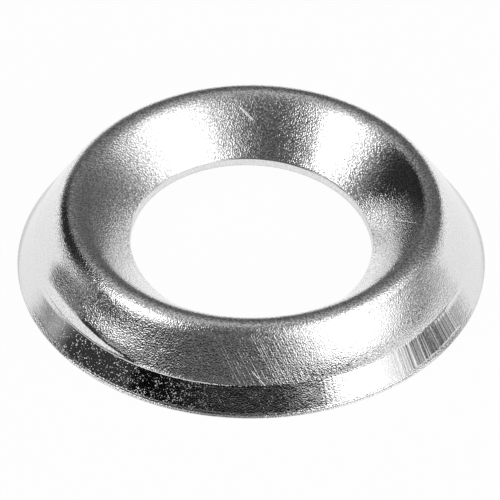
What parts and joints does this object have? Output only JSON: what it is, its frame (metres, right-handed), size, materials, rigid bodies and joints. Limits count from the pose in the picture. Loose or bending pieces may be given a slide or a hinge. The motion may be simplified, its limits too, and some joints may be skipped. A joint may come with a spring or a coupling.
{
  "type": "finishing cup washer",
  "caption": "Pressed sheet-metal cup washer with a countersunk funnel for a screw head, a rounded crown and a sloping skirt that stands on the work.",
  "frame": {"origin": "centre of the foot's underside, on the washer's axis", "axes": "+Z along the axis, from the foot up to the crown"},
  "size_m": [0.016, 0.016, 0.0026],
  "materials": {
    "plated_sheet": "bright nickel plating over pressed steel sheet, with a fine grain and light handling scratches"
  },
  "bodies": {
    "root": {"cup_washer": "plated_sheet"}
  },
  "joints": []
}
